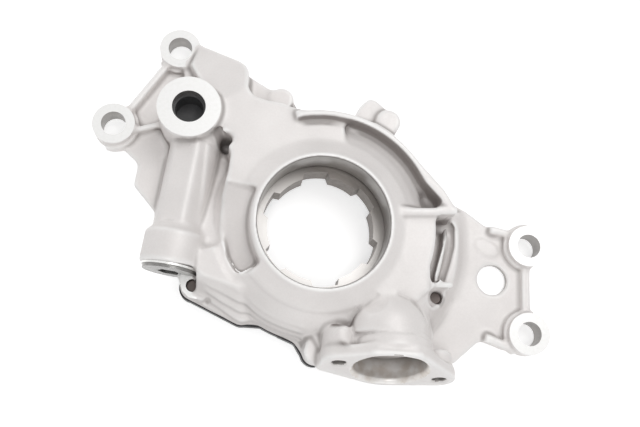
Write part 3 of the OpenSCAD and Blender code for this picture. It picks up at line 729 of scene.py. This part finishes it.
class Shader:
    """A node material with short calls for its nodes and links."""

    def __init__(self, name):
        self.material = bpy.data.materials.new(name)
        self.material.use_nodes = True
        self.tree = self.material.node_tree
        self.bsdf = self.tree.nodes["Principled BSDF"]
        self.coords = self.node("ShaderNodeTexCoord").outputs["Object"]

    def node(self, kind, **values):
        made = self.tree.nodes.new(kind)
        for name, value in values.items():
            setattr(made, name, value)
        return made

    def link(self, start, end):
        self.tree.links.new(start, end)

    def feed(self, socket, value):
        # Sets a colour or a number on a socket, or links another node's output to it.
        if isinstance(value, tuple):
            socket.default_value = (*value, 1.0)
        elif isinstance(value, (int, float)):
            socket.default_value = value
        else:
            self.link(value, socket)

    def noise(self, size_mm, detail=2.0, rough=0.5, stretch=(1, 1, 1)):
        mapping = self.node("ShaderNodeMapping")
        mapping.inputs["Scale"].default_value = stretch
        self.link(self.coords, mapping.inputs["Vector"])
        made = self.node("ShaderNodeTexNoise")
        made.inputs["Scale"].default_value = 1 / (size_mm * MM)
        made.inputs["Detail"].default_value = detail
        made.inputs["Roughness"].default_value = rough
        self.link(mapping.outputs[0], made.inputs["Vector"])
        return made.outputs["Fac"]

    def ramp(self, value, low, high, low_out=0.0, high_out=1.0):
        made = self.node("ShaderNodeMapRange")
        for name, number in zip(("From Min", "From Max", "To Min", "To Max"), (low, high, low_out, high_out)):
            made.inputs[name].default_value = number
        self.link(value, made.inputs["Value"])
        return made.outputs[0]

    def mix(self, factor, first, second):
        made = self.node("ShaderNodeMix", data_type="RGBA")
        for index, value in ((0, factor), (6, first), (7, second)):
            self.feed(made.inputs[index], value)
        return made.outputs[2]

    def math(self, operation, first, second):
        made = self.node("ShaderNodeMath", operation=operation)
        for socket, value in zip(made.inputs, (first, second)):
            self.feed(socket, value)
        return made.outputs[0]

    def bump(self, height, distance_mm, strength=1.0, before=None):
        made = self.node("ShaderNodeBump")
        made.inputs["Distance"].default_value = distance_mm * MM
        made.inputs["Strength"].default_value = strength
        self.link(height, made.inputs["Height"])
        if before is not None:
            self.link(before, made.inputs["Normal"])
        return made.outputs[0]

    def stored(self, name):
        # A value that the mesh keeps at its points.
        made = self.node("ShaderNodeAttribute")
        made.attribute_name = name
        return made.outputs["Fac"]

    def part_of(self, output, axis):
        # One axis of the position or the normal at the surface.
        made = self.node("ShaderNodeSeparateXYZ")
        self.link(self.node("ShaderNodeNewGeometry").outputs[output], made.inputs[0])
        return made.outputs[axis]

    def set(self, **values):
        for name, value in values.items():
            self.feed(self.bsdf.inputs[name.replace("_", " ")], value)


def cast_material():
    # Blasted aluminium: mottled, with painted shade in hollows and corners, and painted highlights on sharp
    # edges.
    s = Shader("cast_aluminium")
    mottle = s.ramp(s.noise(18, 3.0), 0.35, 0.7)
    fine = s.ramp(s.noise(0.8, 3.0), 0.3, 0.7)
    colour = s.mix(mottle, (0.83, 0.80, 0.785), (0.77, 0.74, 0.725))
    colour = s.mix(s.ramp(fine, 0, 1, 0, 0.12), colour, (0.62, 0.59, 0.575))
    # Painted highlight on sharp edges and the lip.
    colour = s.mix(s.stored("edge"), colour, (0.94, 0.93, 0.92))
    # Painted shade in hollows and corners.
    in_hollows = s.math("MULTIPLY", s.stored("hollow"), 0.92)
    crease_shade_part = s.math("MULTIPLY", s.stored("crease_shade"), 0.7)
    colour = s.mix(s.math("MAXIMUM", in_hollows, crease_shade_part), colour, (0.20, 0.175, 0.165))
    grain = s.bump(s.noise(0.7, 2.0), 0.03, 0.5)
    peel = s.bump(s.noise(5.5, 2.0), 0.15, 0.5, grain)
    s.set(Base_Color=colour, Metallic=0.15, Roughness=s.ramp(fine, 0, 1, 0.42, 0.54), Normal=peel)
    return s.material


def machined_material():
    # Milled faces of the ears, the boss and the corner pad.
    s = Shader("machined_aluminium")
    fine = s.noise(1.5, 3.0)
    s.set(
        Base_Color=s.mix(s.ramp(fine, 0.3, 0.7), (0.92, 0.915, 0.905), (0.86, 0.855, 0.84)),
        Metallic=0.3,
        Roughness=s.ramp(fine, 0.3, 0.7, 0.28, 0.4),
        Normal=s.bump(fine, 0.02, 0.3),
    )
    return s.material


def bored_material():
    # Walls of the bores, with fine rings from the tool, and a base darker than the machined faces as painted
    # shade.
    s = Shader("bored_aluminium")
    rings = s.noise(0.5, 2.0, stretch=(0.05, 0.05, 1))
    patches = s.ramp(s.noise(7, 3.0), 0.35, 0.65)
    s.set(
        Base_Color=s.mix(patches, (0.40, 0.385, 0.37), (0.31, 0.295, 0.285)),
        Metallic=0.85,
        Roughness=s.ramp(rings, 0.3, 0.7, 0.3, 0.42),
        Normal=s.bump(rings, 0.02, 0.4),
    )
    return s.material


def mouth_material():
    # The inlet bore: light with stains near its mouth, and darker further in as painted shade.
    s = Shader("inlet_mouth")
    rings = s.noise(0.5, 2.0, stretch=(0.05, 1, 0.05))
    stain = s.ramp(s.noise(5, 3.0), 0.4, 0.65)
    light = s.mix(stain, (0.86, 0.84, 0.82), (0.66, 0.61, 0.56))
    # Painted shade that darkens the bore further in from its mouth.
    inward = s.ramp(s.part_of("Position", "Y"), -0.0510, -0.0455)
    s.set(
        Base_Color=s.mix(inward, light, (0.20, 0.18, 0.165)),
        Metallic=0.4,
        Roughness=s.ramp(rings, 0.3, 0.7, 0.32, 0.44),
        Normal=s.bump(rings, 0.02, 0.4),
    )
    return s.material


def screw_material():
    # Plated screws, whose ends at the bottom of each hole in the casting are painted dark as shade.
    s = Shader("zinc_steel")
    fine = s.noise(0.4, 3.0)
    plate = s.mix(s.ramp(s.noise(2.4, 3.0), 0.3, 0.7), (0.62, 0.62, 0.60), (0.50, 0.50, 0.48))
    # Painted shade: the screw ends higher than 8 mm, deep in their holes, turn dark.
    end = s.ramp(s.part_of("Position", "Z"), 0.0080, 0.0084)
    s.set(
        Base_Color=s.mix(end, plate, (0.13, 0.105, 0.095)),
        Metallic=s.ramp(end, 0, 1, 0.9, 0.3),
        Roughness=s.ramp(fine, 0.3, 0.7, 0.3, 0.43),
        Normal=s.bump(fine, 0.04, 0.4),
    )
    return s.material


def rotor_material():
    # Sintered iron: ground bright on both faces, with painted shade that darkens the faces towards higher X
    # and Y, and dark on the walls between.
    s = Shader("sintered_iron")
    fine = s.noise(0.3, 3.0)
    wall = s.mix(s.ramp(s.noise(2.0, 3.0), 0.3, 0.7), (0.26, 0.23, 0.21), (0.18, 0.16, 0.145))
    # Painted shade across the faces, darker towards higher X and Y in the world.
    face_shade = s.math("ADD", s.math("MULTIPLY", s.part_of("Position", "X"), 0.5), s.part_of("Position", "Y"))
    face = s.mix(s.ramp(face_shade, -0.012, 0.022), (0.72, 0.70, 0.68), (0.24, 0.22, 0.205))
    flat = s.ramp(s.math("ABSOLUTE", s.part_of("Normal", "Z"), 0.0), 0.9, 0.98)
    s.set(
        Base_Color=s.mix(flat, wall, face),
        Metallic=0.7,
        Roughness=s.ramp(fine, 0.3, 0.7, 0.36, 0.5),
        Normal=s.bump(fine, 0.03, 0.4),
    )
    return s.material


def plain_material(name, light, dark, metallic, rough, grain_mm, depth_mm=0.04):
    # Two tones in soft patches, with a fine grain that shows in gloss and relief.
    s = Shader(name)
    value = s.ramp(s.noise(grain_mm * 6, 3.0), 0.3, 0.7)
    fine = s.noise(grain_mm, 3.0)
    s.set(
        Base_Color=s.mix(value, light, dark),
        Metallic=metallic,
        Roughness=s.ramp(fine, 0.3, 0.7, rough - 0.06, rough + 0.08),
        Normal=s.bump(fine, depth_mm, 0.4),
    )
    return s.material


def set_material(obj, *materials):
    obj.data.materials.clear()
    for material in materials:
        obj.data.materials.append(material)


def paint_case(case):
    # Gives the machined tops, the bores and the inlet's mouth their own materials.
    set_material(case, cast_material(), machined_material(), bored_material(), mouth_material())
    mesh = case.data
    count = len(mesh.polygons)
    centres = np.empty(count * 3, np.float32)
    normals = np.empty(count * 3, np.float32)
    mesh.polygons.foreach_get("center", centres)
    mesh.polygons.foreach_get("normal", normals)
    centres = centres.reshape(-1, 3) / MM
    normals = normals.reshape(-1, 3)
    wall = np.abs(normals[:, 2]) < 0.3
    kind = np.zeros(count, np.int32)

    def round_place(place, radius):
        return np.hypot(centres[:, 0] - place[0], centres[:, 1] - place[1]) < radius

    def top_at(height):
        return (np.abs(centres[:, 2] - height) < 0.05) & (normals[:, 2] > 0.99)

    def round_inlet(u, v):
        # Distance of each face from an axis square to the flange, and its height over the flange.
        beside = centres - np.array(inlet_point(u, v))
        height = beside @ np.array(INLET_N)
        return np.linalg.norm(beside - height[:, None] * np.array(INLET_N), axis=1), height

    for ear in EARS:
        kind[round_place(ear, EAR_R + 0.1) & top_at(EAR_TOP)] = MACHINED
        kind[round_place(ear, EAR_HOLE_R + 0.05) & wall] = BORED
    kind[round_place(OUTLET, OUTLET_BOSS_R + 0.1) & top_at(OUTLET_BOSS_TOP)] = MACHINED
    kind[round_place(OUTLET, OUTLET_BORE_R + 0.1) & wall] = BORED
    kind[round_place(CRANK, CRANK_R + 0.15) & (np.abs(normals[:, 2]) < 0.5)] = BORED
    kind[round_place(WEB_HOLE, WEB_HOLE_R + 0.05) & wall] = BORED
    x, y = centres[:, 0], centres[:, 1]
    kind[(x > -53) & (x < -44) & (y > -31) & (y < -18) & top_at(PAD_TOP)] = MACHINED
    kind[round_place(PAD_HOLE, PAD_HOLE_R + 0.1) & wall] = BORED

    along = np.abs(normals @ np.array(INLET_N))
    aside, height = round_inlet(0, 0)
    inside = (height < 0.5) & (height > -INLET_BORE_DEPTH - 0.3)
    kind[(aside < INLET_BORE_R + 0.1) & inside & (along < 0.5)] = MOUTH
    kind[(aside < 15.1) & (height < 0.2) & (height > -1.8) & (along < 0.9)] = MOUTH
    for u, v, _ in FLANGE_HOLES:
        aside, height = round_inlet(u, v)
        kind[(aside < FLANGE_HOLE_R + 0.1) & (height > -13) & (along < 0.5)] = BORED
    mesh.polygons.foreach_set("material_index", kind)


def build_spring(per_turn=40, sides=14):
    # A round wire wound along the valve, closed at both ends.
    turn = VALVE_WAY.to_track_quat("Z", "Y").to_matrix()
    count = SPRING_TURNS * per_turn
    climb = SPRING_HIGH - SPRING_LOW - 2 * WIRE_R
    points = []
    for i in range(count + 1):
        angle = 2 * math.pi * i / per_turn
        middle = SPRING_LOW + WIRE_R + climb * i / count
        for j in range(sides):
            around = 2 * math.pi * j / sides
            radius = SPRING_MEAN_R + WIRE_R * math.cos(around)
            height = middle + WIRE_R * math.sin(around)
            place = Vector((radius * math.cos(angle), radius * math.sin(angle), height))
            points.append((VALVE_END + turn @ place) * MM)
    faces = []
    for i in range(count):
        for j in range(sides):
            near, far = i * sides, (i + 1) * sides
            after = (j + 1) % sides
            faces.append((near + j, far + j, far + after, near + after))
    faces.append(tuple(range(sides)))
    faces.append(tuple(range(count * sides + sides - 1, count * sides - 1, -1)))
    made = new_object("relief_coil", points, faces)
    smooth_all(made.data)
    bm = bmesh.new()
    bm.from_mesh(made.data)
    bmesh.ops.recalc_face_normals(bm, faces=bm.faces)
    bm.to_mesh(made.data)
    bm.free()
    return made


def add_lamp(name, place, size, power):
    # A round lamp that points at the middle of the pump.
    lamp = bpy.data.lights.new(name, "AREA")
    lamp.shape = "DISK"
    lamp.size = size
    lamp.energy = power
    obj = bpy.data.objects.new(name, lamp)
    obj.location = place
    obj.rotation_euler = (-Vector(place)).to_track_quat("-Z", "Y").to_euler()
    bpy.context.scene.collection.objects.link(obj)


def maximum_of(tree, first, second):
    made = tree.nodes.new("ShaderNodeMath")
    made.operation = "MAXIMUM"
    tree.links.new(first, made.inputs[0])
    tree.links.new(second, made.inputs[1])
    return made.outputs[0]


def as_seen(tree):
    # 1 for what the camera, a reflection or glass shows, and 0 for the rays that light the pump.
    path = tree.nodes.new("ShaderNodeLightPath").outputs
    indirect = maximum_of(tree, path["Is Glossy Ray"], path["Is Transmission Ray"])
    return maximum_of(tree, path["Is Camera Ray"], indirect)


def build_stage():
    scene = bpy.context.scene
    scene.view_settings.view_transform = "Standard"
    world = bpy.data.worlds.new("world")
    scene.world = world
    world.use_nodes = True
    tree = world.node_tree
    background = tree.nodes["Background"]
    background.inputs["Color"].default_value = (1, 1, 1, 1)
    strength = tree.nodes.new("ShaderNodeMapRange")
    strength.inputs["To Min"].default_value = WORLD_LIGHT
    strength.inputs["To Max"].default_value = WORLD_SEEN
    tree.links.new(as_seen(tree), strength.inputs["Value"])
    tree.links.new(strength.outputs[0], background.inputs["Strength"])

    half = FLOOR_HALF
    corners = [(-half, -half, 0), (half, -half, 0), (half, half, 0), (-half, half, 0)]
    floor = new_object("floor", corners, [(0, 1, 2, 3)])
    material = bpy.data.materials.new("floor")
    material.use_nodes = True
    tree = material.node_tree
    bsdf = tree.nodes["Principled BSDF"]
    bsdf.inputs["Base Color"].default_value = (0.9, 0.9, 0.9, 1)
    bsdf.inputs["Roughness"].default_value = 0.9
    bsdf.inputs["Emission Color"].default_value = (1, 1, 1, 1)
    glow = tree.nodes.new("ShaderNodeMath")
    glow.operation = "MULTIPLY"
    glow.inputs[1].default_value = FLOOR_GLOW
    tree.links.new(as_seen(tree), glow.inputs[0])
    tree.links.new(glow.outputs[0], bsdf.inputs["Emission Strength"])
    floor.data.materials.append(material)
    for name, place, size, power in LAMPS:
        add_lamp(name, place, size, power)


def build_camera():
    # Stands at the photograph's viewing angle and is turned about its own axis.
    elevation = math.radians(CAMERA_ELEVATION)
    azimuth = math.radians(CAMERA_AZIMUTH)
    roll = math.radians(CAMERA_ROLL)
    back = Vector((
        math.sin(azimuth) * math.cos(elevation),
        -math.cos(azimuth) * math.cos(elevation),
        math.sin(elevation),
    ))
    level = Vector((math.cos(azimuth), math.sin(azimuth), 0))
    upward = back.cross(level)
    right = math.cos(roll) * level + math.sin(roll) * upward
    up = -math.sin(roll) * level + math.cos(roll) * upward
    place = (CAMERA_DISTANCE * back + CAMERA_ASIDE * right + CAMERA_ABOVE * up) * MM
    camera = bpy.data.cameras.new("camera")
    camera.sensor_width = 36
    camera.lens = CAMERA_LENS
    camera.clip_start = 0.01
    obj = bpy.data.objects.new("camera", camera)
    obj.matrix_world = Matrix((
        (right.x, up.x, back.x, place.x),
        (right.y, up.y, back.y, place.y),
        (right.z, up.z, back.z, place.z),
        (0, 0, 0, 1),
    ))
    bpy.context.scene.collection.objects.link(obj)
    bpy.context.scene.camera = obj


build_stage()
build_camera()
case = build_case()
paint_case(case)
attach(case, "case")
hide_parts("housing")

# The plain ones take: name, light tone, dark tone, metallic, roughness, size of the grain
black = plain_material("black_steel", (0.022, 0.021, 0.022), (0.035, 0.034, 0.035), 0.3, 0.42, 0.6)
zinc = plain_material("plug_steel", (0.33, 0.325, 0.315), (0.20, 0.195, 0.19), 0.9, 0.28, 0.4)
sinter = rotor_material()
screws = screw_material()
ground = plain_material("ground_steel", (0.60, 0.60, 0.60), (0.52, 0.52, 0.52), 1.0, 0.22, 0.3)
spring = plain_material("spring_steel", (0.30, 0.30, 0.31), (0.22, 0.22, 0.23), 1.0, 0.3, 0.3)
soft = plain_material("soft_aluminium", (0.86, 0.855, 0.84), (0.78, 0.775, 0.76), 0.8, 0.3, 0.4)
cup = plain_material("black_plug", (0.055, 0.055, 0.057), (0.075, 0.075, 0.077), 0.2, 0.4, 0.5)
for node, material in (
    ("rear_cover", black),
    ("cover_screws", screws),
    ("inner_rotor", sinter),
    ("outer_rotor", sinter),
    ("relief_plunger", ground),
    ("relief_plug", zinc),
    ("relief_plug_washer", soft),
    ("outlet_cup_plug", cup),
):
    set_material(NODES[node], material)

coil = build_spring()
set_material(coil, spring)
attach(coil, "case")
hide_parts("relief_spring")
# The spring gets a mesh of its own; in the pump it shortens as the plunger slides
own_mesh(coil)
